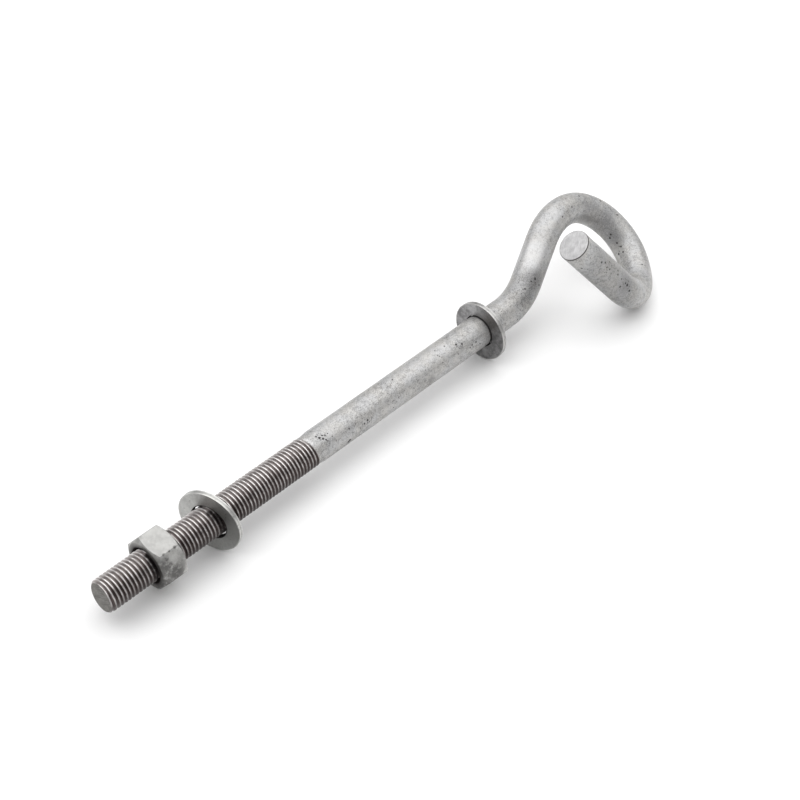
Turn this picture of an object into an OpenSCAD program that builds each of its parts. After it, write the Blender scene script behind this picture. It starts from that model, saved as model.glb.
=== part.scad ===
// Galvanised pigtail bolt: a round bar with a threaded end and an open spiral eye,
// one hex nut on the thread and two loose washers on the bar.
// It lies as it comes to rest, on the rim of the nut washer and on the lowest place of the eye,
// with the hook washer hung on the bar close above the floor.
// Millimetres. X runs along the straight bar from the threaded tip to the eye, Z is up,
// and the origin is the middle of the tip face.

/* [Bar] */
// diameter over the thread crests
thread_d = 16; // [12:0.5:16]
// length of the thread from the tip
thread_l = 120; // [100:1:125]
// length over which the thread runs out into the neck
run_out = 1.5; // [0.5:0.1:4]
// width of the chamfer round the tip
tip_chamfer = 0.7; // [0.2:0.1:2]
// depth of the bare neck behind the thread, below the crests
neck_step = 0.3; // [0.1:0.05:1]
// length of the bare neck
neck_l = 2; // [1:0.5:6]
// length of the cone from the neck up to the plain bar
cone_l = 5; // [2:0.5:12]
// diameter of the plain bar
bar_d = 16.2; // [14:0.1:17]
// length of straight bar from the tip to the first bend
straight_l = 261.4; // [255:0.1:300]

/* [Eye] */
// turn of the first bend about the bar, from straight up
neck_bend_roll = -28.7; // [-60:0.1:60]
// angle of the first bend, away from the bar's line
neck_bend_angle = 36.2; // [20:0.1:60]
// radius of the first bend, on the bar's middle line
neck_bend_r = 36.3; // [20:0.1:60]
// length of straight bar between the first bend and the eye
leg_l = 24.3; // [5:0.1:60]
// turn about the bar where the eye begins
crown_roll = 187.4; // [150:0.1:210]
// angle of the first part of the eye
crown_angle = 56.3; // [40:0.1:80]
// radius of the first part of the eye
crown_r = 32.2; // [24:0.1:45]
// turn about the bar into the far part of the eye
far_roll = -33; // [-50:0.1:-10]
// angle of the far part of the eye
far_angle = 106.8; // [80:0.1:120]
// radius of the far part of the eye
far_r = 27.3; // [20:0.1:40]
// turn about the bar into the returning part of the eye
return_roll = -19.8; // [-40:0.1:0]
// angle of the returning part of the eye
return_angle = 98.4; // [80:0.1:115]
// radius of the returning part of the eye
return_r = 28.7; // [20:0.1:40]
// length of the straight free end
tail_l = 48.6; // [10:0.1:60]
// thickening of the bar in a forged bend
swell = 0.06; // [0.02:0.02:0.4]
// how far a run of bar reaches into the thicker bend next to it
lap = 0.1; // [0.05:0.05:0.5]

/* [Nut] */
// width of the nut across its flats
nut_flats = 24; // [22:0.5:28]
// thickness of the nut
nut_h = 13; // [8:0.5:15]
// diameter of the flat ring on the nut's faces, inside its chamfers
nut_face_d = 22.8; // [20:0.1:23.6]
// slope of the nut's corner chamfers, from its faces
nut_slope = 30; // [15:1:35]
// depth of the countersinks at both ends of the nut's bore
nut_sink = 0.9; // [0.3:0.1:1.5]
// place of the nut's outer face, from the tip
nut_x = 24.9; // [2:0.1:35]
// turn of the nut about the bar
nut_turn = 9.4; // [0:0.1:60]

/* [Washers] */
// outside diameter of the nut washer
nut_washer_d = 32.3; // [29:0.1:40]
// outside diameter of the hook washer
hook_washer_d = 31.5; // [29:0.1:40]
// thickness of the washers
washer_t = 2.5; // [2:0.1:4]
// width of the broken edge round the washers' rims
rim_break = 0.5; // [0.1:0.05:0.8]
// width of the broken edge round the washers' holes
hole_break = 0.3; // [0.1:0.05:0.8]
// place of the nut washer's middle, from the tip
nut_washer_x = 62; // [58:0.1:90]
// turn of the nut washer about the vertical, from square on the bar
nut_washer_yaw = 15; // [0:0.5:15]
// place of the hook washer's face on the thread's side, from the tip
hook_washer_x = 242.4; // [160:0.1:245]
// lean of the hook washer to the side, where it hangs on the bar, from straight below it
hook_washer_lean = 63; // [0:1:80]

/* [Clearances] */
// gap between the thread crests and the nut's bore, all round
thread_gap = 0.1; // [0.05:0.01:0.3]
// play of the washer holes on the bar, across
washer_play = 1.5; // [1.2:0.1:3]
// gap between the plain bar and the hook washer's hole, where the washer hangs on it
seat_gap = 0.2; // [0.1:0.05:0.5]
// how far a cutting shape runs past what it cuts
past = 1; // [0.5:0.5:3]

/* [Hidden] */
$fn = 96;

thread_r = thread_d / 2;
neck_r = thread_r - neck_step;
bar_r = bar_d / 2;
neck_end = thread_l + neck_l;

nut_bore_r = thread_r + thread_gap;
nut_face_r = nut_face_d / 2;
nut_corner_r = nut_flats / 2 / cos(30);
// the chamfer cone is drawn out past the corners, and drops this far by then
nut_cone_r = nut_corner_r + past;
nut_cone_drop = (nut_cone_r - nut_face_r) * tan(nut_slope);

washer_hole_r = (max(bar_d, thread_d) + washer_play) / 2;
// the hook washer hangs on the bar, its middle below the bar's axis and to the side of it
hang = washer_hole_r - bar_r - seat_gap;
hook_washer_drop = hang * cos(hook_washer_lean);
hook_washer_shift = hang * sin(hook_washer_lean);

// one row for each bend: straight run before it, turn about the bar, angle and radius of the bend,
// and whether the bend is a thickened one or laps into its thickened neighbours
bends = [
    [0, neck_bend_roll, neck_bend_angle, neck_bend_r, true],
    [leg_l, crown_roll, crown_angle, crown_r, true],
    [0, far_roll, far_angle, far_r, false],
    [0, return_roll, return_angle, return_r, true]
];

// a straight run along X from the origin, lapped into the bend before it and into one after it
module run(length, end_lap) {
    translate([-lap, 0, 0])
        rotate([0, 90, 0])
            cylinder(h = length + lap + end_lap, r = bar_r);
}

// a bend that starts at the origin along X and turns towards Z
module bend(angle, radius, thickened) {
    lap_angle = thickened ? 0 : lap / radius * 180 / PI;
    translate([0, 0, radius])
        rotate([90, 90, 0])
            rotate([0, 0, -lap_angle])
                rotate_extrude(angle = angle + 2 * lap_angle)
                    translate([radius, 0])
                        circle(r = thickened ? bar_r + swell / 2 : bar_r);
}

// the bends from row i on, each in the frame in which the one before it ended, then the free end
module bent_bar(i = 0) {
    if (i < len(bends)) {
        row = bends[i];
        if (row[0] > 0) {
            run(row[0], lap);
        }
        translate([row[0], 0, 0])
            rotate([row[1], 0, 0]) {
                bend(row[2], row[3], row[4]);
                translate([row[3] * sin(row[2]), 0, row[3] * (1 - cos(row[2]))])
                    rotate([0, -row[2], 0])
                        bent_bar(i + 1);
            }
    } else {
        run(tail_l, 0);
    }
}

// the straight part turned in one piece: tip, thread over its crests, neck, cone and plain bar
module straight_bar() {
    rotate([0, 90, 0])
        rotate_extrude()
            polygon([
                [0, 0],
                [thread_r - tip_chamfer, 0],
                [thread_r, tip_chamfer],
                [thread_r, thread_l - run_out],
                [neck_r, thread_l],
                [neck_r, neck_end],
                [bar_r, neck_end + cone_l],
                [bar_r, straight_l + lap],
                [0, straight_l + lap]
            ]);
}

module pigtail_bolt() {
    color("silver") {
        straight_bar();
        translate([straight_l, 0, 0])
            bent_bar();
    }
}

// a hexagon with its corners turned off at both faces
module nut_blank() {
    intersection() {
        cylinder(h = nut_h, r = nut_corner_r, $fn = 6);
        rotate_extrude()
            polygon([
                [0, 0],
                [nut_face_r, 0],
                [nut_cone_r, nut_cone_drop],
                [nut_cone_r, nut_h - nut_cone_drop],
                [nut_face_r, nut_h],
                [0, nut_h]
            ]);
    }
}

// the bore with a countersink at each face, running past both
module nut_bore() {
    rotate_extrude()
        polygon([
            [0, -past],
            [nut_bore_r + nut_sink + past, -past],
            [nut_bore_r, nut_sink],
            [nut_bore_r, nut_h - nut_sink],
            [nut_bore_r + nut_sink + past, nut_h + past],
            [0, nut_h + past]
        ]);
}

module hex_nut() {
    color("darkgray")
        translate([nut_x, 0, 0])
            rotate([90 + nut_turn, 0, 0])
                rotate([0, 90, 0])
                    difference() {
                        nut_blank();
                        nut_bore();
                    }
}

// a pressed washer square on X, with its first face at the origin
module washer(outer_r) {
    rotate([0, 90, 0])
        rotate_extrude()
            polygon([
                [washer_hole_r, hole_break],
                [washer_hole_r + hole_break, 0],
                [outer_r - rim_break, 0],
                [outer_r, rim_break],
                [outer_r, washer_t - rim_break],
                [outer_r - rim_break, washer_t],
                [washer_hole_r + hole_break, washer_t],
                [washer_hole_r, washer_t - hole_break]
            ]);
}

// stands on the floor round the thread, turned about the vertical through its middle
module nut_washer() {
    color("gainsboro")
        translate([nut_washer_x, 0, 0])
            rotate([0, 0, nut_washer_yaw])
                translate([-washer_t / 2, 0, 0])
                    washer(nut_washer_d / 2);
}

module hook_washer() {
    color("gainsboro")
        translate([hook_washer_x, -hook_washer_shift, -hook_washer_drop])
            washer(hook_washer_d / 2);
}

pigtail_bolt();
hex_nut();
nut_washer();
hook_washer();
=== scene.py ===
"""Looks of a galvanised pigtail bolt with its nut and two washers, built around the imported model."""
import math

import bpy
import numpy as np
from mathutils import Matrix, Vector, noise


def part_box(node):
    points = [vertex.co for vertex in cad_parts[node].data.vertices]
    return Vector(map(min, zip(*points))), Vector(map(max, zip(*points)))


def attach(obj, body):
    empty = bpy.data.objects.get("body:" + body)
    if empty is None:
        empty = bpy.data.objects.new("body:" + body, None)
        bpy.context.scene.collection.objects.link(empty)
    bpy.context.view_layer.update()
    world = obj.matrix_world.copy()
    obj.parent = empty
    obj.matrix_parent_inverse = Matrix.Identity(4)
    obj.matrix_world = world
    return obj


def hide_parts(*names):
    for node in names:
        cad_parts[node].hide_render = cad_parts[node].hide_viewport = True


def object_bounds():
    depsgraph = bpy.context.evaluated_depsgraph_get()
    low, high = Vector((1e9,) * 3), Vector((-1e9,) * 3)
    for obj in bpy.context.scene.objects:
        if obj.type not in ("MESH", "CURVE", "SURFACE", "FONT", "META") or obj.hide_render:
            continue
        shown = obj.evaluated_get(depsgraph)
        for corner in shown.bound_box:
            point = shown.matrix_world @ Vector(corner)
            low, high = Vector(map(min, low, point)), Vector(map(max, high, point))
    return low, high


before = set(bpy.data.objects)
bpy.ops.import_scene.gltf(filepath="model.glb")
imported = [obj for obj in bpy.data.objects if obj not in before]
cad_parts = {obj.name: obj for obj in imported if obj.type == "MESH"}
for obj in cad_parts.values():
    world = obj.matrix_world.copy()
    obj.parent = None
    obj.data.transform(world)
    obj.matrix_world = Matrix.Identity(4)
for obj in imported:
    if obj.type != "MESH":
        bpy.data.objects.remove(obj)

cad_low, cad_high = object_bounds()

# All sizes are in millimetres unless a name or comment says otherwise.
MM = 0.001
TURN = 2 * math.pi

# The bar
PITCH = 2.0
CREST_R = 8.0
NECK_R = 7.7
BAR_R = 8.1
# the thread ends askew: by END_SKEW later or earlier round the bar, earliest at the angle END_EARLY
THREAD_END = 122.0
END_SKEW = 1.1
END_EARLY = math.radians(40)
RUN_OUT = 1.2
# the threaded stretch of the mesh goes this far past the last of the thread
THREAD_JOIN = 0.2
# the thread's colour fades between these distances before its end
THREAD_FADE = (1.0, 0.2)
NECK_END = 123.8
CONE_END = 127.0
STRAIGHT_END = 261.4
TAIL_L = 48.6
# straight run before each bend, turn about the bar, angle and radius of the bend
BENDS = (
    (0.0, -28.7, 36.2, 36.3),
    (24.3, 187.4, 56.3, 32.2),
    (0.0, -33.0, 106.8, 27.3),
    (0.0, -19.8, 98.4, 28.7),
)
# the crest line of the right-hand thread passes this place along the bar at this angle round it
CREST_X = -0.185
CREST_ANGLE = math.radians(127.85)
# distance from the crest line along the bar, and depth of the thread there
PROFILE_X = (0.0, 0.15, 0.28, 0.5, 0.76, 0.88, 1.0)
PROFILE_DEPTH = (0.0, 0.02, 0.12, 0.47, 0.92, 1.02, 1.05)
# rows of vertices over one pitch, as distances from the crest line
PROFILE_ROWS = (0.0, 0.15, 0.28, 0.5, 0.8, 1.0, 1.2, 1.5, 1.72, 1.85)
AROUND = 96
TIP_R = 7.0
TIP_BLEND = 0.35
TIP_TILT = (0.05, 0.05)
TIP_TILT_REACH = 4.0
BAR_ROW_STEP = 1.2
# width of the rounded edge at the sawn end, inset of its middle row and length of the row before it
SAWN_EDGE = 0.3
SAWN_EDGE_MIDDLE = 0.09
SAWN_ROW = 0.5
# share of the radius and rise of the rings that close the sawn end and the tip
SAWN_RINGS = ((0.97, 0.02), (0.8, 0.03), (0.5, 0.03), (0.2, 0.03))
TIP_RINGS = ((0.97, 0.05), (0.85, 0.08), (0.5, 0.12), (0.2, 0.1))

# The nut
NUT_FLATS = 24.0
NUT_FACE_R = 11.4
NUT_SLOPE = math.radians(30)
NUT_BORE_R = 8.1
NUT_SINK = 0.9
NUT_TURN = math.radians(9.4)
NUT_CORNER_ROUND = 0.55
NUT_EDGE_ROUND = 0.5
# depth and half width of the groove in its bore, and rows of points along the bore
NUT_GROOVE = 0.55
NUT_GROOVE_HALF = 0.55
NUT_BORE_ROWS = 73
# width of the ring of painted shade round the bore on its faces; the bore and countersinks are painted near
# black too
NUT_BORE_SHADE = 0.8

# The washers
WASHER_HOLE_R = 8.85
WASHER_HOLE_ROUND = 0.3
# painted shade: the hole's wall and a ring round it near black, full as far as the first distance, gone at the
# second
HOLE_SHADE = (0.4, 0.7)
# place of the line of painted shade at the step on the rim and its width, as shares of the thickness
STEP_SHADE_AT, STEP_SHADE_WIDTH = 0.54, 0.05
# step between the cut band and the torn band on the rim
WASHER_STEP = 0.12
WASHER_COLUMNS = 128
# rows of points on a face: two near the hole, then an even run that stops short of the rim
FACE_NEAR = (0.45, 0.7)
FACE_FROM, FACE_SHORT, FACE_ROWS = 1.5, 0.6, 6
# radius about the bar's axis to which zinc closes the hook washer's hole, at its front and at its back
CLOSED_HOLE = (8.62, 8.27)
# it narrows between these shares of the thickness, and moves the face between these distances less and less
CLOSED_DEPTH = (0.3, 0.8)
CLOSED_REACH = (0.2, 1.4)
WASHER_EDGE_ROUND = 0.6
NUT_WASHER_YAW = math.radians(15)

# The camera, found from the photo
CAMERA_AT = (-0.251667, -0.407695, 0.524698)
CAMERA_YAW = 0.75163996
CAMERA_PITCH = 0.72925957
FOCAL_PIXELS = 1648.239
IMAGE_SIZE = 800
SENSOR = 36.0

# The studio, in metres: half the floor's width, the soft box and the light of the room
FLOOR_HALF = 20.0
FAR_CLIP = 80.0
BOX_MIDDLE, BOX_SET_BACK, BOX_HEIGHT = 0.17, 0.85, 2.0
BOX_WIDTH, BOX_DEPTH, BOX_RADIANCE = 5.5, 4.0, 1.45
ROOM_LIGHT = 0.45


def smooth(low, high, value):
    """0 below low, 1 above high, with a smooth step between."""
    t = np.clip((np.asarray(value, float) - low) / (np.asarray(high) - low), 0.0, 1.0)
    return t * t * (3 - 2 * t)


def uneven(points, size, amount, seed=0.0):
    """A soft random height for each point, with bumps about as wide as size."""
    shift = Vector((seed, seed * 1.7, seed * 2.3))
    return amount * np.array([noise.noise(Vector(p) / size + shift) for p in points])


def make_object(name, points, faces, materials, face_material=None, values=None):
    """A smooth-shaded mesh object from points in millimetres, with values for its points by name."""
    mesh = bpy.data.meshes.new(name)
    mesh.from_pydata((np.asarray(points) * MM).tolist(), [], faces)
    mesh.shade_smooth()
    for material in materials:
        mesh.materials.append(material)
    if face_material is not None:
        mesh.polygons.foreach_set("material_index", np.asarray(face_material, np.int32))
    for key, value in (values or {}).items():
        layer = mesh.attributes.new(key, "FLOAT", "POINT")
        layer.data.foreach_set("value", np.asarray(value, np.float32))
    mesh.validate()
    piece = bpy.data.objects.new(name, mesh)
    bpy.context.scene.collection.objects.link(piece)
    return piece


def ring_faces(lower, upper):
    """Quads between two rings of as many point numbers."""
    count = len(lower)
    return [
        (lower[i], lower[(i + 1) % count], upper[(i + 1) % count], upper[i])
        for i in range(count)
    ]


def merged(points, faces, step=1e-5):
    """The mesh with points in the same place joined and the faces that this leaves without area dropped."""
    keys = np.round(np.asarray(points) / step).astype(np.int64)
    _, first, index = np.unique(keys, axis=0, return_index=True, return_inverse=True)
    index = index.ravel()
    order = np.argsort(first)
    rank = np.empty(len(order), int)
    rank[order] = np.arange(len(order))
    kept = []
    for face in faces:
        corners = []
        for i in face:
            k = int(rank[index[i]])
            if k not in corners:
                corners.append(k)
        if len(corners) > 2:
            kept.append(tuple(corners))
    return np.asarray(points)[first[order]], kept, rank[index]


def thread_depth(x, angle):
    """Depth of the thread below its crests, at places along the bar and angles round it."""
    turns = (x - CREST_X) / PITCH - (angle - CREST_ANGLE) / TURN
    away = np.abs(turns - np.round(turns)) * PITCH
    return np.interp(away, PROFILE_X, PROFILE_DEPTH)


def thread_end(angle):
    """Place along the bar at which the thread ends, at an angle round it."""
    return THREAD_END - END_SKEW * np.cos(angle - END_EARLY)


def thread_radius(x, angle):
    """Radius of the threaded end: it runs out into the neck, and a chamfer limits it at the tip."""
    end = thread_end(angle)
    fade = smooth(end - RUN_OUT, end, x)
    radius = (CREST_R - thread_depth(x, angle)) * (1 - fade) + NECK_R * fade
    chamfer = TIP_R + x
    gap = np.clip(0.5 + 0.5 * (chamfer - radius) / TIP_BLEND, 0.0, 1.0)
    return chamfer * (1 - gap) + radius * gap - TIP_BLEND * gap * (1 - gap)


def threaded_end(last_x):
    """Points and faces of the threaded end from the tip to last_x, in rows that follow the helix,
    with the depth of the groove at each point and the ring of point numbers at each end."""
    angles = CREST_ANGLE - math.pi + TURN * np.arange(AROUND) / AROUND
    per_turn = len(PROFILE_ROWS)
    first_turn = -3
    turns = int(last_x / PITCH) + 6
    rows = np.array([PITCH * (first_turn + k) + r for k in range(turns) for r in PROFILE_ROWS])
    x = CREST_X + rows[:, None] + PITCH * (angles[None, :] - CREST_ANGLE) / TURN
    x = np.clip(x, 0.0, last_x)
    radius = thread_radius(x, angles[None, :])
    groove = np.clip((np.minimum(CREST_R, TIP_R + x) - radius) / PROFILE_DEPTH[-1], 0, 1).ravel()
    tilt = 1 - smooth(0.0, TIP_TILT_REACH, x)
    y = radius * np.cos(angles)[None, :]
    z = radius * np.sin(angles)[None, :]
    points = np.stack([x + tilt * (TIP_TILT[0] * y + TIP_TILT[1] * z), y, z], -1).reshape(-1, 3)
    count = len(rows)
    faces = []
    for g in range(count - 1):
        for j in range(AROUND):
            a, b = g * AROUND + j, (g + 1) * AROUND + j
            if j < AROUND - 1:
                faces.append((a, a + 1, b + 1, b))
            else:
                c = min(g + per_turn, count - 1) * AROUND
                d = min(g + 1 + per_turn, count - 1) * AROUND
                faces.append((a, c, d, b))
    points, faces, index = merged(points, faces)
    kept_groove = np.zeros(len(points))
    kept_groove[index] = groove
    start = [int(index[j]) for j in range(AROUND)]
    end = [int(index[(count - 1) * AROUND + j]) for j in range(AROUND)]
    return points, faces, kept_groove, start, end, angles


def bar_line():
    """Places on the bar's middle line from the first bend on, with two directions across it, and its last
    direction."""
    place = np.array([STRAIGHT_END, 0.0, 0.0])
    ahead, side, up = np.array([1.0, 0, 0]), np.array([0, 1.0, 0]), np.array([0, 0, 1.0])
    towards = up.copy()
    line = []

    def run(length):
        nonlocal place
        steps = max(2, int(round(length / BAR_ROW_STEP)))
        for k in range(1, steps + 1):
            line.append((place + ahead * length * k / steps, side, up))
        place = place + ahead * length

    for length, roll, angle, radius in BENDS:
        if length:
            run(length)
        turn = math.radians(roll)
        towards = math.cos(turn) * towards + math.sin(turn) * np.cross(ahead, towards)
        centre = place + towards * radius
        start_ahead, start_towards = ahead, towards
        start_side, start_up = side, up
        total = math.radians(angle)
        steps = max(2, int(round(total * radius / BAR_ROW_STEP)))
        for k in range(1, steps + 1):
            a = total * k / steps
            ahead = start_ahead * math.cos(a) + start_towards * math.sin(a)
            towards = start_towards * math.cos(a) - start_ahead * math.sin(a)
            side = turned(start_side, start_ahead, start_towards, ahead, towards)
            up = turned(start_up, start_ahead, start_towards, ahead, towards)
            line.append((centre - towards * radius, side, up))
        place = centre - towards * radius
    run(TAIL_L)
    return line, ahead


def turned(vector, old_a, old_b, new_a, new_b):
    """The vector carried along as directions old_a and old_b turn into new_a and new_b."""
    a, b = vector @ old_a, vector @ old_b
    return vector - a * old_a - b * old_b + a * new_a + b * new_b


def end_cap(points, faces, ring, centre, normal, insets):
    """Closes a ring of points with smaller rings, each a share of its size and moved along the normal."""
    base = points[ring]
    last = list(ring)
    extra = []
    number = len(points)
    new_faces = []
    for share, rise in insets:
        loop = centre + (base - centre) * share + normal * rise
        extra.append(loop)
        now = list(range(number, number + len(ring)))
        number += len(ring)
        new_faces += ring_faces(last, now)
        last = now
    extra.append((centre + normal * insets[-1][1])[None, :])
    new_faces += [(last[i], last[(i + 1) % len(last)], number) for i in range(len(last))]
    return np.concatenate([points] + extra), faces + new_faces, len(new_faces)


def build_bar(materials):
    """The bar in one mesh: threaded end, neck, cone, plain bar, spiral eye and sawn free end."""
    points, faces, thread_groove, tip_ring, ring, angles = threaded_end(THREAD_END + END_SKEW + THREAD_JOIN)
    thread_count = len(points)
    chunks, number = [points], len(points)
    cosine, sine = np.cos(angles)[:, None], np.sin(angles)[:, None]
    straight = [NECK_END - 0.3, NECK_END, NECK_END + 0.5]
    straight += list(np.linspace(NECK_END + 1.5, CONE_END - 1.5, 3))
    straight += [CONE_END - 0.5, CONE_END, CONE_END + 0.5]
    straight += list(np.arange(CONE_END + 1.5, STRAIGHT_END, BAR_ROW_STEP)) + [STRAIGHT_END]
    rows = [
        (np.array([x, 0.0, 0.0]), np.array([0, 1.0, 0]), np.array([0, 0, 1.0]),
         float(np.interp(x, (NECK_END, CONE_END), (NECK_R, BAR_R))))
        for x in straight
    ]
    line, tail_ahead = bar_line()
    rows += [(c, s, u, BAR_R) for c, s, u in line]
    tail_centre = rows[-1][0]
    c, s, u, r = rows.pop()
    rows += [(c - tail_ahead * d, s, u, r) for d in (SAWN_EDGE + SAWN_ROW, SAWN_EDGE)]
    rows += [(c - tail_ahead * SAWN_EDGE_MIDDLE, s, u, r - SAWN_EDGE_MIDDLE), (c, s, u, r - SAWN_EDGE)]
    for centre, side, up, radius in rows:
        skin = side * cosine + up * sine
        loop = centre + skin * radius
        lumps = uneven(loop, 14.0, 0.05, 3.1) + uneven(loop, 4.5, 0.022, 8.4)
        loop = loop + skin * lumps[:, None]
        chunks.append(loop)
        now = list(range(number, number + AROUND))
        faces += ring_faces(ring, now)
        number += AROUND
        ring = now
    points = np.concatenate(chunks)
    body_faces, body_points = len(faces), len(points)
    points, faces, tail_faces = end_cap(
        points, faces, ring, tail_centre, tail_ahead, SAWN_RINGS)
    tip_centre = np.array([0.0, 0.0, 0.0])
    points, faces, tip_faces = end_cap(
        points, faces, tip_ring[::-1], tip_centre, np.array([-1.0, 0, 0]), TIP_RINGS)
    on_thread = np.zeros(len(points))
    x, y, z = points[:thread_count].T
    end = thread_end(np.arctan2(z, y))
    on_thread[:thread_count] = 1 - smooth(end - THREAD_FADE[0], end - THREAD_FADE[1], x)
    groove = np.zeros(len(points))
    groove[:thread_count] = thread_groove
    groove *= on_thread
    cut = np.zeros(len(points))
    cut[body_points - 3 * AROUND:body_points - AROUND] = 1.0
    face_material = [0] * body_faces + [1] * tail_faces + [2] * tip_faces
    return make_object("threaded_bar", points, faces, materials, face_material,
                       {"on_thread": on_thread, "groove": groove, "cut": cut})


def rounded(corners, radii, steps):
    """A line through 2D corners with each inner corner rounded by its radius, in a fixed count of points."""
    out = [corners[0]]
    for before, corner, after, radius in zip(corners, corners[1:], corners[2:], radii):
        a, b = np.subtract(before, corner), np.subtract(after, corner)
        la, lb = np.hypot(*a), np.hypot(*b)
        a, b = a / la, b / lb
        half = math.acos(float(np.clip(a @ b, -1, 1))) / 2
        cut = min(radius / max(math.tan(half), 1e-6), 0.45 * la, 0.45 * lb)
        start, end = corner + a * cut, corner + b * cut
        for k in range(steps + 1):
            t = k / steps
            out.append((1 - t) ** 2 * start + 2 * t * (1 - t) * np.asarray(corner) + t ** 2 * end)
    out.append(corners[-1])
    return np.array(out)


def hexagon(flats, corner_round, flat_points, corner_points):
    """Points round a hexagon with rounded corners, the first corner on the first axis."""
    outer = flats / math.sqrt(3)
    corner = [np.array([outer * math.cos(k * TURN / 6), outer * math.sin(k * TURN / 6)]) for k in range(6)]
    out = []
    for k in range(6):
        before, now, after = corner[k - 1], corner[k], corner[(k + 1) % 6]
        a = (before - now) / np.linalg.norm(before - now)
        b = (after - now) / np.linalg.norm(after - now)
        cut = corner_round / math.tan(math.radians(60))
        start, end = now + a * cut, now + b * cut
        for i in range(corner_points + 1):
            t = i / corner_points
            out.append((1 - t) ** 2 * start + 2 * t * (1 - t) * now + t ** 2 * end)
        far = after + (now - after) / np.linalg.norm(now - after) * cut
        for i in range(1, flat_points + 1):
            out.append(end + (far - end) * i / (flat_points + 1))
    return np.array(out)


def build_nut(material):
    """The hexagon nut: rounded edges, turned corners, countersinks and a thread cut into its bore."""
    low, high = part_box("hex_nut")
    first, last = low.x / MM, high.x / MM
    height = last - first
    outline = hexagon(NUT_FLATS, NUT_CORNER_ROUND, 9, 5)
    reach = np.hypot(outline[:, 0], outline[:, 1])
    angle = np.arctan2(outline[:, 1], outline[:, 0])
    slope = math.tan(NUT_SLOPE)
    loops = []
    for r in reach:
        drop = (r - NUT_FACE_R) * slope
        corners = [
            np.array(p) for p in (
                (NUT_SINK, NUT_BORE_R), (0.0, NUT_BORE_R + NUT_SINK), (0.0, NUT_FACE_R),
                (drop, r), (height - drop, r), (height, NUT_FACE_R),
                (height, NUT_BORE_R + NUT_SINK), (height - NUT_SINK, NUT_BORE_R))
        ]
        e = NUT_EDGE_ROUND
        loops.append(rounded(corners, (0.15, e, e, e, e, 0.15), 4))
    loops = np.array(loops)
    bore_x = np.linspace(height - NUT_SINK, NUT_SINK, NUT_BORE_ROWS)[1:-1]
    turns = (bore_x[None, :] + first - CREST_X) / PITCH - (angle[:, None] + NUT_TURN - CREST_ANGLE) / TURN
    away = np.abs(turns - np.round(turns)) * PITCH
    inside = np.minimum(bore_x, height - bore_x)[None, :]
    groove = NUT_GROOVE * np.clip(1 - away / NUT_GROOVE_HALF, 0, 1) * smooth(NUT_SINK, NUT_SINK + 0.8, inside)
    bore = np.stack([np.broadcast_to(bore_x, groove.shape), NUT_BORE_R + groove], -1)
    loops = np.concatenate([loops, bore], axis=1)
    columns, rows = loops.shape[:2]
    turn = angle + NUT_TURN
    points = np.stack([
        loops[:, :, 0] + first,
        loops[:, :, 1] * np.cos(turn)[:, None],
        loops[:, :, 1] * np.sin(turn)[:, None]], -1).reshape(-1, 3)
    outside = (loops[:, :, 1] > NUT_FACE_R - 0.6).reshape(-1)
    lumps = uneven(points, 6.0, 0.06, 5.2) + uneven(points, 2.2, 0.03, 1.3)
    radial = points * np.array([0, 1, 1])
    radial /= np.linalg.norm(radial, axis=1)[:, None]
    points = points + radial * (lumps * outside)[:, None]
    faces = []
    for c in range(columns):
        n = (c + 1) % columns
        for r in range(rows):
            m = (r + 1) % rows
            faces.append((c * rows + r, c * rows + m, n * rows + m, n * rows + r))
    reach = loops[:, :, 1].reshape(-1)
    depth = np.minimum(loops[:, :, 0], height - loops[:, :, 0]).reshape(-1)
    # painted shade: near black without shine in the bore, the countersinks and a ring round them
    inner = np.clip((NUT_BORE_R + NUT_SINK + NUT_BORE_SHADE - reach) / 0.5, 0, 1)
    end = (1 - smooth(NUT_FACE_R - 0.2, NUT_FACE_R + 0.5, reach)) * (1 - smooth(0.1, 0.5, depth))
    return make_object("nut_body", points, faces, [material], None, {"inner": inner, "end": end})


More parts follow.
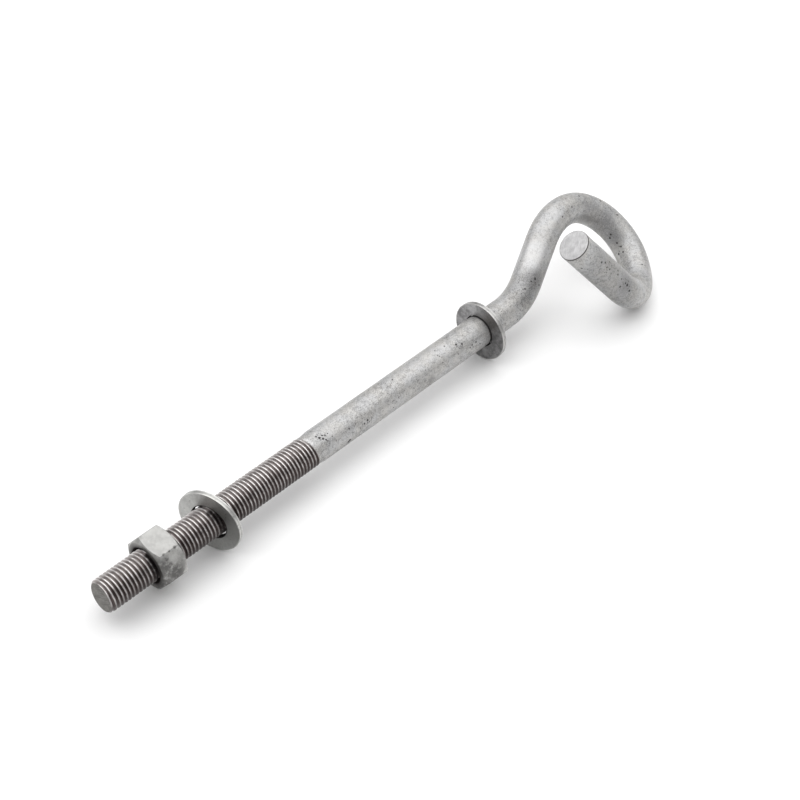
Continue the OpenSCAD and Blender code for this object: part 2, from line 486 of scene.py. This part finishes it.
def build_washer(name, material, seed, centre, yaw, outer_r, thickness, closed=None):
    """A punched washer: rounded on one side, with a cut band and a slightly stepped torn band on its rim.
    Its hole's wall and a ring round it carry painted shade, and closed can give radii about the bar's axis to
    narrow it to."""
    t = thickness
    step = WASHER_STEP
    profile = rounded(
        [np.array(p) for p in (
            (0.5 * t, WASHER_HOLE_R), (0.0, WASHER_HOLE_R), (0.0, outer_r - step), (0.0, outer_r),
            (0.52 * t, outer_r), (0.56 * t, outer_r - step), (0.9 * t, outer_r - 0.5 * step),
            (t, outer_r - 3 * step), (t, WASHER_HOLE_R), (0.5 * t, WASHER_HOLE_R))],
        (WASHER_HOLE_ROUND, 0.0, WASHER_EDGE_ROUND, 0.06, 0.06, 0.1, 0.15, WASHER_HOLE_ROUND), 3)[:-1]
    mid = np.append([WASHER_HOLE_R + d for d in FACE_NEAR],
                    np.linspace(WASHER_HOLE_R + FACE_FROM, outer_r - FACE_SHORT, FACE_ROWS))
    count = WASHER_COLUMNS
    angles = TURN * np.arange(count) / count
    face_a = np.stack([np.zeros(len(mid)), mid], -1)
    face_b = np.stack([np.full(len(mid), t), mid[::-1]], -1)
    cut_a = int(np.argmax(profile[:, 1] > WASHER_HOLE_R + 1.0))
    cut_b = len(profile) - int(np.argmax(profile[::-1, 1] > WASHER_HOLE_R + 1.0))
    profile = np.concatenate([profile[:cut_a], face_a, profile[cut_a:cut_b], face_b, profile[cut_b:]])
    rows = len(profile)
    x = np.broadcast_to(profile[None, :, 0] - 0.5 * t, (count, rows))
    r = np.broadcast_to(profile[None, :, 1], (count, rows))
    local = np.stack([x, r * np.cos(angles)[:, None], r * np.sin(angles)[:, None]], -1).reshape(-1, 3)
    lumps = uneven(local, 5.0, 0.05, seed) + uneven(local, 1.8, 0.02, seed + 4)
    local = local + np.stack([lumps, np.zeros(len(local)), np.zeros(len(local))], -1)
    edge = smooth(outer_r - 0.45, outer_r - 0.1, r).reshape(-1)
    hole = 1 - smooth(WASHER_HOLE_R + HOLE_SHADE[0], WASHER_HOLE_R + HOLE_SHADE[1], r).reshape(-1)
    step_shade = (np.exp(-((x / t + 0.5 - STEP_SHADE_AT) / STEP_SHADE_WIDTH) ** 2) * (r > outer_r - 3 * step)).reshape(-1)
    if closed is not None:
        front, back = closed
        wanted = (front + (back - front) * smooth(*CLOSED_DEPTH, x / t + 0.5)).reshape(-1)
        inward = (1 - smooth(WASHER_HOLE_R + CLOSED_REACH[0], WASHER_HOLE_R + CLOSED_REACH[1], r)).reshape(-1)
        away = local[:, 1:] + np.asarray(centre)[1:]
        reach = np.linalg.norm(away, axis=1)
        local[:, 1:] += away * (inward * (wanted / reach - 1))[:, None]
    c, s = math.cos(yaw), math.sin(yaw)
    points = local @ np.array([[c, s, 0], [-s, c, 0], [0, 0, 1.0]]) + np.asarray(centre)
    faces = []
    for k in range(count):
        n = (k + 1) % count
        for i in range(rows):
            m = (i + 1) % rows
            faces.append((k * rows + i, k * rows + m, n * rows + m, n * rows + i))
    return make_object(name, points, faces, [material], None, {"edge": edge, "hole": hole, "step_shade": step_shade})


class Shader:
    """A node material in the making: nodes are added by kind, with inputs as numbers, colours or sockets."""

    def __init__(self, name):
        self.material = bpy.data.materials.new(name)
        self.material.use_nodes = True
        self.tree = self.material.node_tree
        self.tree.nodes.clear()
        self.surface = self.add("ShaderNodeBsdfPrincipled")
        output = self.add("ShaderNodeOutputMaterial")
        self.tree.links.new(self.surface.outputs["BSDF"], output.inputs["Surface"])
        coordinates = self.add("ShaderNodeTexCoord").outputs["Object"]
        scaled = self.add("ShaderNodeVectorMath", {"Vector": coordinates, "Scale": 1 / MM}, operation="SCALE")
        self.place = scaled.outputs["Vector"]

    def add(self, kind, inputs=None, **settings):
        """A new node with its settings and inputs."""
        made = self.tree.nodes.new(kind)
        for key, value in settings.items():
            setattr(made, key, value)
        for key, value in (inputs or {}).items():
            if isinstance(value, bpy.types.NodeSocket):
                self.tree.links.new(value, made.inputs[key])
            else:
                made.inputs[key].default_value = value
        return made

    def set(self, key, value):
        """Sets or links an input of the surface shader."""
        if isinstance(value, bpy.types.NodeSocket):
            self.tree.links.new(value, self.surface.inputs[key])
        else:
            self.surface.inputs[key].default_value = value

    def math(self, operation, a, b=0.0, c=0.0, clamp=False):
        """The result of one sum."""
        made = self.add("ShaderNodeMath", {0: a, 1: b, 2: c}, operation=operation)
        made.use_clamp = clamp
        return made.outputs["Value"]

    def noise(self, size, detail=3.0, roughness=0.55, place=None):
        """Soft noise with features about as wide as size, from 0 to 1."""
        made = self.add("ShaderNodeTexNoise", {
            "Vector": place or self.place, "Scale": 1 / size, "Detail": detail, "Roughness": roughness})
        return made.outputs["Fac"]

    def ramp(self, value, low, high, to_low=0.0, to_high=1.0):
        """The value moved smoothly from one range to another."""
        made = self.add("ShaderNodeMapRange", {
            "Value": value, "From Min": low, "From Max": high, "To Min": to_low, "To Max": to_high},
            interpolation_type="SMOOTHSTEP")
        return made.outputs["Result"]

    def mix(self, share, a, b, blend="MIX"):
        """Colour a with the share of colour b mixed in."""
        made = self.add("ShaderNodeMix", data_type="RGBA", blend_type=blend)
        for index, value in ((0, share), (6, a), (7, b)):
            if isinstance(value, bpy.types.NodeSocket):
                self.tree.links.new(value, made.inputs[index])
            else:
                made.inputs[index].default_value = value if index == 0 else (*value, 1.0)
        return made.outputs[2]

    def value(self, name):
        """A value stored on the mesh."""
        return self.add("ShaderNodeAttribute", attribute_name=name).outputs["Fac"]

    def spot(self, centre, radius, soft):
        """1 within radius of a place, falling to 0 at radius plus soft."""
        away = self.add("ShaderNodeVectorMath", {0: self.place, 1: centre}, operation="DISTANCE")
        return self.ramp(away.outputs["Value"], radius, radius + soft, 1.0, 0.0)

    def weighted(self, *terms):
        """The sum of values, each times its weight."""
        value, weight = terms[-1]
        total = self.math("MULTIPLY", value, weight)
        for value, weight in reversed(terms[:-1]):
            total = self.math("MULTIPLY_ADD", value, weight, total)
        return total

    def bump(self, height, strength, distance):
        """Relief on the surface, over a distance in metres."""
        made = self.add("ShaderNodeBump", {"Height": height, "Strength": strength, "Distance": distance})
        self.set("Normal", made.outputs["Normal"])

    def most(self, values):
        """The largest of several values."""
        best = values[0]
        for value in values[1:]:
            best = self.math("MAXIMUM", best, value)
        return best

    def pits(self, cell, size, share):
        """Small round pits: one cell in so many holds one, as the share socket or number says."""
        warp = self.add("ShaderNodeTexNoise", {"Vector": self.place, "Scale": 0.9 / cell, "Detail": 2.0})
        moved = self.add("ShaderNodeVectorMath", {
            0: warp.outputs["Color"], 1: (0.5 * cell,) * 3, 2: self.place}, operation="MULTIPLY_ADD")
        made = self.add("ShaderNodeTexVoronoi", {"Vector": moved.outputs["Vector"], "Scale": 1 / cell})
        chosen = self.math("LESS_THAN", self.add(
            "ShaderNodeSeparateColor", {"Color": made.outputs["Color"]}).outputs["Red"], share)
        near = self.ramp(made.outputs["Distance"], 0.5 * size / cell, size / cell, 1.0, 0.0)
        return self.math("MULTIPLY", near, chosen)


# places of groups of pits on the bar, with the radius of each group
PIT_GROUPS = (
    ((127.6, -3.9, 7.0), 2.5), ((153.2, -7.2, 3.0), 3.0), ((153.2, -3.4, 7.2), 2.0),
    ((175.0, -3.0, 7.4), 3.0), ((208.0, -5.2, 6.2), 4.0), ((221.7, -4.8, 6.4), 2.5),
    ((231.3, -7.5, 2.5), 5.0), ((281.5, -2.2, 12.0), 4.0), ((307.2, -42.0, 14.4), 6.0),
    ((296.0, -38.0, 29.5), 5.5), ((343.3, -12.8, 0.6), 4.0), ((335.5, 7.5, 27.0), 5.0),
)
# single larger pits, with their radius
PIT_SPOTS = (
    ((126.1, -1.8, 7.8), 0.5), ((126.9, -3.2, 7.4), 0.65), ((128.1, -4.3, 6.7), 0.65),
    ((129.1, -5.2, 5.9), 0.55), ((128.8, -3.0, 7.5), 0.5), ((130.0, -3.6, 7.1), 0.45),
    ((141.0, -7.9, -1.6), 0.8), ((141.8, -7.9, -1.0), 0.7), ((142.8, -6.5, 4.5), 0.5),
    ((152.0, -7.6, 2.3), 0.5), ((154.2, -7.5, 2.9), 0.6), ((179.0, -0.2, 7.9), 0.5),
    ((220.2, -4.2, 6.8), 0.6), ((223.3, -5.4, 6.0), 0.6), ((214.4, -1.7, 7.8), 0.4),
    ((262.8, -8.1, -0.5), 0.5), ((334.5, 11.9, 29.2), 0.6), ((347.4, 7.0, 21.9), 0.7),
    ((351.8, -1.4, 14.6), 0.6), ((324.1, 8.4, 29.3), 0.5), ((307.2, -42.0, 14.4), 0.8),
    ((306.2, -41.8, 16.0), 0.6), ((308.5, -41.9, 12.9), 0.7), ((302.3, -38.9, 24.6), 0.5),
    ((281.5, -31.5, 33.9), 0.6), ((342.6, -26.6, -0.2), 0.5), ((290.8, -36.4, 34.9), 0.6),
    ((293.4, -36.7, 33.4), 0.6), ((297.1, -36.6, 31.7), 0.45), ((294.0, -37.6, 30.5), 0.5),
    ((295.8, -38.1, 28.7), 0.5), ((301.4, -39.6, 23.0), 0.55), ((303.7, -40.6, 19.5), 0.45),
    ((302.4, -41.1, 15.6), 0.6), ((308.4, -42.9, 10.6), 0.7), ((314.8, 7.1, 28.5), 0.5),
    ((344.5, -3.7, 6.9), 0.6), ((344.2, -3.7, 4.8), 0.65), ((344.6, -8.2, 3.5), 0.6),
    ((344.6, -11.0, 2.6), 0.6), ((342.7, -11.4, -1.1), 0.7), ((343.3, -13.5, 1.0), 0.55),
    ((282.4, -2.6, 11.5), 0.7), ((279.8, -2.2, 11.1), 0.5), ((274.6, -2.6, 9.5), 0.5),
    ((283.6, -4.5, 7.9), 0.5), ((231.7, -7.3, 3.3), 0.5), ((228.7, -7.3, 3.2), 0.5),
    ((234.1, -7.9, 1.2), 0.45), ((227.0, -7.5, 2.7), 0.45),
)
# places of darker stains on the bar, with the radius of the full stain and of its soft edge
STAINS = (
    ((336.3, 5.1, 19.5), 3.0, 7.0), ((342.7, 0.7, 12.5), 3.5, 7.0), ((344.5, -4.8, 5.1), 2.5, 7.0),
    ((281.5, -2.2, 12.0), 2.0, 6.0), ((198.0, -8.0, 0.3), 0.5, 3.5), ((306.5, -42.0, 15.0), 1.0, 8.0),
)

# broad places where the zinc on the bar is duller, and spots of painted highlight where it is also smoother, as
# the stains
DULL_ZINC = (
    ((298.0, -37.5, 27.0), 12.0, 12.0), ((306.0, -42.0, 10.0), 6.0, 10.0), ((272.3, -1.3, 9.5), 3.0, 9.0),
)
HIGHLIGHT_SPOTS = (((288.5, 4.6, 19.5), 3.0, 11.0), ((121.6, 1.2, 7.8), 0.4, 0.8),
               ((121.8, -0.2, 7.8), 0.5, 0.8), ((122.0, -1.6, 7.6), 0.5, 0.8), ((122.3, -3.0, 7.2), 0.4, 0.8))

# direction towards the thread's underside, along which it is painted darker as shade, and places of painted
# shadow on the thread where it meets the nut and its washer, as the stains
SHADE_DOWN = (0.0, -0.6, -0.8)
THREAD_SHADOWS = (
    ((60.3, -2.2, 7.3), 0.9, 1.5), ((61.2, -4.6, 6.1), 1.1, 1.7), ((61.9, -6.6, 3.9), 1.2, 1.7),
    ((62.5, -7.6, 1.3), 1.2, 1.7), ((62.8, -7.5, -1.6), 1.0, 1.5), ((24.9, -1.8, 7.4), 0.9, 1.3),
    ((24.9, -4.2, 6.3), 1.0, 1.5), ((24.9, -6.2, 4.5), 1.1, 1.6), ((24.9, -7.3, 2.0), 1.1, 1.6),
    ((24.9, -7.5, -0.8), 1.0, 1.5),
)
# painted shade: a dark ring on the bar inside the hook washer's hole, its place along the bar, half width and
# soft edge
WASHER_SHADE_X, WASHER_SHADE_HALF, WASHER_SHADE_SOFT = 242.5, 0.35, 0.5

# places of darker stains on the nut, as on the bar, with painted shade on its front face near the bore among
# them, a side flat painted darker as shade, and the middle of its smooth top flat
NUT_STAINS_AND_SHADE = (
    ((28.8, -9.8, 8.1), 0.6, 1.4), ((27.1, -10.3, 6.7), 0.6, 1.2), ((29.5, -11.1, 4.6), 0.8, 1.8),
    ((28.9, -12.1, 1.8), 1.0, 2.2), ((34.1, -11.7, 3.1), 0.3, 0.5), ((35.5, -11.6, 3.2), 0.3, 0.5),
    ((33.2, -12.1, 1.8), 0.35, 0.6), ((24.8, -12.6, 0.6), 0.5, 1.5), ((26.0, -13.4, -1.4), 0.8, 2.0),
    ((24.9, -9.5, 4.5), 3.0, 4.0), ((31.0, -12.6, 0.4), 2.0, 5.0), ((24.9, -8.5, -6.0), 3.5, 4.0),
    ((25.4, -11.6, 2.2), 1.6, 2.4), ((25.6, -12.6, -2.0), 1.6, 2.4),
    ((28.5, -8.9, 10.5), 0.35, 0.7), ((31.5, -8.9, 10.5), 0.3, 0.6), ((34.6, -8.9, 10.5), 0.4, 0.8),
)
NUT_SIDE_SHADE = ((31.4, -11.2, 4.2), 5.5, 2.0)
NUT_SMOOTH = ((31.4, -1.96, 11.84), 6.0, 2.5)

# the darkened part of each washer's face, as the stains: a stain on the hook washer, painted shade on the nut
# washer
HOOK_WASHER_STAIN = ((242.7, -8.0, 9.8), 1.5, 6.0)
NUT_WASHER_SHADE = ((64.4, -14.7, 2.4), 4.0, 17.0)


def bar_material():
    """Hot-dip zinc, dull and grainy, with pits and stains, a brown thread with bright crests, painted shade on
    the thread's underside, where it meets the nut and its washer and round the bar inside the hook washer, and
    painted highlights on the leg and the neck.
    """
    m = Shader("galvanised_bar")
    broad = m.noise(16.0, 2.0)
    middle = m.noise(1.8, 4.0, 0.6)
    fine = m.noise(0.5, 4.0, 0.7)
    tone = m.weighted((broad, 0.14), (middle, 0.26), (fine, 0.60))
    zinc = m.mix(m.ramp(tone, 0.39, 0.55), (0.235, 0.233, 0.23), (0.525, 0.522, 0.517))
    warmth = m.ramp(m.noise(9.0, 2.0), 0.35, 0.65)
    zinc = m.mix(1.0, zinc, m.mix(warmth, (0.99, 0.995, 1.01), (1.01, 0.995, 0.975)), "MULTIPLY")
    # painted highlights on the leg and at the neck: lighter colour here, and lower roughness further down
    bright = m.most([m.spot(*s) for s in HIGHLIGHT_SPOTS])
    zinc = m.mix(m.math("MULTIPLY", bright, 0.4), zinc, (0.70, 0.70, 0.705))
    dull = m.most([m.spot(*s) for s in DULL_ZINC])
    zinc = m.mix(m.math("MULTIPLY", dull, 0.28), zinc, (0.06, 0.06, 0.06))
    darkening = m.most([m.spot(*s) for s in STAINS])
    darkening = m.math("MULTIPLY", darkening, m.ramp(middle, 0.3, 0.62))
    zinc = m.mix(m.math("MULTIPLY", darkening, 0.6), zinc, (0.16, 0.155, 0.155))
    group = m.most([m.spot(c, 0.3 * r, 0.9 * r) for c, r in PIT_GROUPS])
    share = m.math("MULTIPLY_ADD", group, 0.36, 0.035)
    pits = m.pits(1.1, 0.36, share)
    spots = m.most([m.spot(c, 0.6 * r, 0.6 * r) for c, r in PIT_SPOTS])
    spots = m.math("MULTIPLY", spots, m.ramp(fine, 0.25, 0.45))
    off_thread = m.math("SUBTRACT", 1.0, m.value("on_thread"), clamp=True)
    pits_and_shade = m.math("MULTIPLY", m.math("MAXIMUM", pits, spots), off_thread)
    pits_and_shade = m.math("MAXIMUM", pits_and_shade, m.value("cut"))
    # a ring of painted shade on the bar inside the hook washer, which darkens it like the pits
    along = m.add("ShaderNodeSeparateXYZ", {"Vector": m.place}).outputs["X"]
    off_washer_shade = m.math("ABSOLUTE", m.math("SUBTRACT", along, WASHER_SHADE_X))
    washer_shade = m.ramp(off_washer_shade, WASHER_SHADE_HALF, WASHER_SHADE_HALF + WASHER_SHADE_SOFT, 1.0, 0.0)
    pits_and_shade = m.math("MAXIMUM", pits_and_shade, washer_shade)
    zinc = m.mix(m.math("MULTIPLY", pits_and_shade, 0.92), zinc, (0.035, 0.032, 0.032))
    groove = m.value("groove")
    deep = m.ramp(m.math("MULTIPLY_ADD", m.math("SUBTRACT", middle, 0.5), 0.5, groove), 0.04, 0.34)
    worn = m.ramp(m.noise(3.5, 3.0), 0.35, 0.6)
    # painted shade: the thread and its flanks grow darker towards the underside, broken up by noise
    underside_shade = m.math("MULTIPLY_ADD", middle, 5.0, m.add(
        "ShaderNodeVectorMath", {0: m.place, 1: SHADE_DOWN}, operation="DOT_PRODUCT").outputs["Value"])
    crest = m.mix(worn, (0.43, 0.405, 0.397), (0.83, 0.805, 0.795))
    flank = m.mix(m.ramp(underside_shade, -6.0, 2.0), (0.315, 0.287, 0.28), (0.12, 0.096, 0.092))
    thread = m.mix(deep, crest, flank)
    thread = m.mix(m.ramp(underside_shade, 0.0, 8.0, 0.0, 0.75), thread, (0.05, 0.04, 0.038))
    # painted shadow of the nut and of its washer on the thread, nearly black
    thread_shadow = m.most([m.spot(*s) for s in THREAD_SHADOWS])
    thread = m.mix(m.math("MULTIPLY", thread_shadow, 0.9), thread, (0.014, 0.011, 0.01))
    m.set("Base Color", m.mix(m.value("on_thread"), zinc, thread))
    m.set("Metallic", m.math("MULTIPLY_ADD", m.value("on_thread"), 0.32, 0.6))
    rough = m.math("MULTIPLY_ADD", tone, -0.3, m.math("MULTIPLY_ADD", m.value("on_thread"), -0.18, 0.64))
    rough = m.math("MULTIPLY_ADD", bright, -0.1, rough)
    m.set("Roughness", m.math("MULTIPLY_ADD", pits_and_shade, 0.25, rough, clamp=True))
    height = m.weighted((pits_and_shade, -1.0), (fine, 0.45), (middle, 0.5))
    m.bump(height, 0.6, 0.00015)
    return m.material


def end_material(name, light, dark, normal, across):
    """A sawn or sheared end: fine streaks along one direction under a thin coat."""
    m = Shader(name)
    n, a = Vector(normal).normalized(), Vector(across).normalized()
    b = n.cross(a)
    dots = [m.add("ShaderNodeVectorMath", {0: m.place, 1: tuple(v)}, operation="DOT_PRODUCT") for v in (a, b, n)]
    split = [dot.outputs["Value"] for dot in dots]
    joined = m.add("ShaderNodeCombineXYZ", {
        "X": m.math("MULTIPLY", split[0], 2.4), "Y": m.math("MULTIPLY", split[1], 0.25), "Z": split[2]})
    streak = m.noise(1.0, 4.0, 0.6, joined.outputs["Vector"])
    blotch = m.noise(3.0, 3.0)
    fine = m.noise(0.6, 3.0, 0.7)
    tone = m.weighted((streak, 0.45), (blotch, 0.35), (fine, 0.2))
    m.set("Base Color", m.mix(m.ramp(tone, 0.36, 0.64), dark, light))
    m.set("Metallic", 0.5)
    m.set("Roughness", m.math("MULTIPLY_ADD", tone, -0.2, 0.62))
    m.bump(tone, 0.5, 0.00015)
    return m.material


def nut_material():
    """Zinc on a forged nut: smooth bright places, grey blotches, and painted shade in the bore, round it and on
    one side flat.
    """
    m = Shader("galvanised_nut")
    broad = m.noise(5.0, 3.0)
    middle = m.noise(1.7, 4.0, 0.6)
    fine = m.noise(0.5, 4.0, 0.7)
    tone = m.weighted((broad, 0.5), (middle, 0.3), (fine, 0.2))
    zinc = m.mix(m.ramp(tone, 0.38, 0.62), (0.30, 0.298, 0.29), (0.56, 0.557, 0.54))
    flat = m.spot(*NUT_SMOOTH)
    zinc = m.mix(m.math("MULTIPLY", flat, 0.7), zinc, (0.365, 0.362, 0.352))
    # painted shade: one side flat darker
    zinc = m.mix(m.math("MULTIPLY", m.spot(*NUT_SIDE_SHADE), 0.45), zinc, (0.18, 0.177, 0.17))
    zinc = m.mix(m.math("MULTIPLY", m.value("end"), 0.8), zinc, (0.15, 0.148, 0.14))
    # real stains, and painted shade on the front face near the bore
    darkening = m.math("MULTIPLY", m.most([m.spot(*s) for s in NUT_STAINS_AND_SHADE]), m.ramp(middle, 0.3, 0.55))
    zinc = m.mix(m.math("MULTIPLY", darkening, 0.85), zinc, (0.09, 0.087, 0.085))
    pits = m.pits(1.3, 0.4, m.ramp(broad, 0.35, 0.6, 0.16, 0.02))
    pits = m.math("MULTIPLY", pits, m.math("SUBTRACT", 1.0, flat))
    zinc = m.mix(m.math("MULTIPLY", pits, 0.8), zinc, (0.05, 0.046, 0.045))
    m.set("Base Color", m.mix(m.value("inner"), zinc, (0.03, 0.026, 0.025)))
    outside = m.math("SUBTRACT", 1.0, m.value("inner"), clamp=True)
    m.set("Metallic", m.math("MULTIPLY", outside, 0.9))
    m.set("Specular IOR Level", m.math("MULTIPLY", outside, 0.5))
    m.set("Roughness", m.math("MULTIPLY_ADD", tone, -0.2, 0.5))
    height = m.weighted((pits, -1.0), (fine, 0.3), (middle, 0.6))
    m.bump(height, 0.6, 0.00012)
    return m.material


def washer_material(name, dark, light, rim, darkened_place, darkening, share):
    """Zinc on a punched washer: dull faces darkened at one place, by a stain on one washer and painted shade on
    the other, bright rubbed rims with a line of painted shade at their step, and painted shade round the hole.
    """
    m = Shader(name)
    broad = m.noise(6.0, 3.0)
    middle = m.noise(1.6, 4.0, 0.65)
    fine = m.noise(0.45, 4.0, 0.7)
    tone = m.weighted((broad, 0.4), (middle, 0.35), (fine, 0.25))
    zinc = m.mix(m.ramp(tone, 0.38, 0.62), dark, light)
    # a stain on the hook washer, painted shade on the nut washer
    zinc = m.mix(m.math("MULTIPLY", m.spot(*darkened_place), share), zinc, darkening)
    pits = m.pits(1.2, 0.35, 0.05)
    zinc = m.mix(m.math("MULTIPLY", pits, 0.8), zinc, (0.045, 0.043, 0.043))
    worn = m.math("MULTIPLY", m.value("edge"), m.ramp(middle, 0.25, 0.5))
    zinc = m.mix(worn, zinc, rim)
    # painted shade along the step on the rim
    zinc = m.mix(m.math("MULTIPLY", m.value("step_shade"), 0.6), zinc, (0.08, 0.078, 0.075))
    # painted shade: the hole's wall and a ring round it near black and without shine
    m.set("Base Color", m.mix(m.value("hole"), zinc, (0.03, 0.027, 0.027)))
    outside = m.math("SUBTRACT", 1.0, m.value("hole"), clamp=True)
    m.set("Metallic", m.math("MULTIPLY", outside, 0.95))
    m.set("Specular IOR Level", m.math("MULTIPLY", outside, 0.5))
    m.set("Roughness", m.math("MULTIPLY_ADD", tone, -0.2, 0.48))
    height = m.weighted((pits, -1.0), (fine, 0.35), (middle, 0.6))
    m.bump(height, 0.6, 0.0001)
    return m.material


def floor_material():
    """A pale matt floor that looks white and keeps the shadow."""
    m = Shader("floor")
    path = m.add("ShaderNodeLightPath").outputs
    seen = m.most([path[key] for key in ("Is Camera Ray", "Is Glossy Ray", "Is Transmission Ray")])
    m.set("Base Color", m.mix(seen, (0.7, 0.7, 0.7), (0.96, 0.96, 0.96)))
    m.set("Roughness", 0.9)
    m.set("Specular IOR Level", 0.0)
    return m.material


def build_floor():
    """A wide floor under the lowest place of the part."""
    size, z = FLOOR_HALF, cad_low.z
    mesh = bpy.data.meshes.new("floor")
    corners = [(-size, -size, z), (size, -size, z), (size, size, z), (-size, size, z)]
    mesh.from_pydata(corners, [], [(0, 1, 2, 3)])
    mesh.materials.append(floor_material())
    floor = bpy.data.objects.new("floor", mesh)
    bpy.context.scene.collection.objects.link(floor)


def area_light(name, at, turn, width, depth, radiance):
    """A soft box that faces straight down, turned about the vertical, with the radiance of its face."""
    lamp = bpy.data.lights.new(name, "AREA")
    lamp.shape = "RECTANGLE"
    lamp.size, lamp.size_y = width, depth
    lamp.energy = radiance * math.pi * width * depth
    made = bpy.data.objects.new(name, lamp)
    made.location = at
    made.rotation_euler = (0.0, 0.0, turn)
    bpy.context.scene.collection.objects.link(made)


def build_light():
    """One wide soft box overhead, set back from the camera, in a dim white room."""
    at = (BOX_MIDDLE + BOX_SET_BACK * math.cos(CAMERA_YAW), BOX_SET_BACK * math.sin(CAMERA_YAW), BOX_HEIGHT)
    area_light("overhead", at, CAMERA_YAW - math.pi / 2, BOX_WIDTH, BOX_DEPTH, BOX_RADIANCE)
    world = bpy.data.worlds.new("studio")
    bpy.context.scene.world = world
    world.use_nodes = True
    room = world.node_tree.nodes["Background"]
    room.inputs["Color"].default_value = (1.0, 1.0, 1.0, 1.0)
    room.inputs["Strength"].default_value = ROOM_LIGHT


def build_camera():
    """The camera at the place found from the photo."""
    data = bpy.data.cameras.new("camera")
    data.sensor_width = SENSOR
    data.lens = SENSOR * FOCAL_PIXELS / IMAGE_SIZE
    data.clip_start, data.clip_end = 0.01, FAR_CLIP
    camera = bpy.data.objects.new("camera", data)
    camera.location = CAMERA_AT
    camera.rotation_euler = (math.pi / 2 - CAMERA_PITCH, 0.0, CAMERA_YAW - math.pi / 2)
    bpy.context.scene.collection.objects.link(camera)
    bpy.context.scene.camera = camera


def build_pieces():
    """The four pieces, each riding on its body in place of its solid."""
    _, tail = bar_line()
    sawn = end_material("sawn_end", (0.63, 0.625, 0.63), (0.43, 0.425, 0.43), tail, (-0.26, 0.86, -0.44))
    sheared = end_material(
        "sheared_tip", (0.215, 0.206, 0.19), (0.085, 0.08, 0.073), (-1, 0, 0), (0, 0.6, 0.8))
    bar = build_bar([bar_material(), sawn, sheared])
    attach(bar, "bolt")
    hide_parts("pigtail_bolt")

    nut = build_nut(nut_material())
    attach(nut, "nut")
    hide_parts("hex_nut")

    low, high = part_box("hook_washer")
    centre = (low + high) / 2 / MM
    thickness = (high.x - low.x) / MM
    dull = washer_material("dull_washer", (0.145, 0.143, 0.145), (0.34, 0.337, 0.339), (0.54, 0.535, 0.525),
                           HOOK_WASHER_STAIN, (0.14, 0.125, 0.115), 0.55)
    outer_r = (high.z - low.z) / 2 / MM
    washer = build_washer("washer_by_hook", dull, 2.7, centre, 0.0, outer_r, thickness, CLOSED_HOLE)
    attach(washer, "washer_at_hook")
    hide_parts("hook_washer")

    low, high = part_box("nut_washer")
    centre = (low + high) / 2 / MM
    pale = washer_material("pale_washer", (0.40, 0.40, 0.39), (0.52, 0.52, 0.505), (0.62, 0.62, 0.60),
                           NUT_WASHER_SHADE, (0.125, 0.125, 0.12), 0.75)
    outer_r = (high.z - low.z) / 2 / MM
    washer = build_washer("washer_by_nut", pale, 6.1, centre, NUT_WASHER_YAW, outer_r, thickness)
    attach(washer, "washer_at_nut")
    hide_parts("nut_washer")


bpy.context.scene.view_settings.view_transform = "Standard"
build_camera()
build_floor()
build_light()
build_pieces()
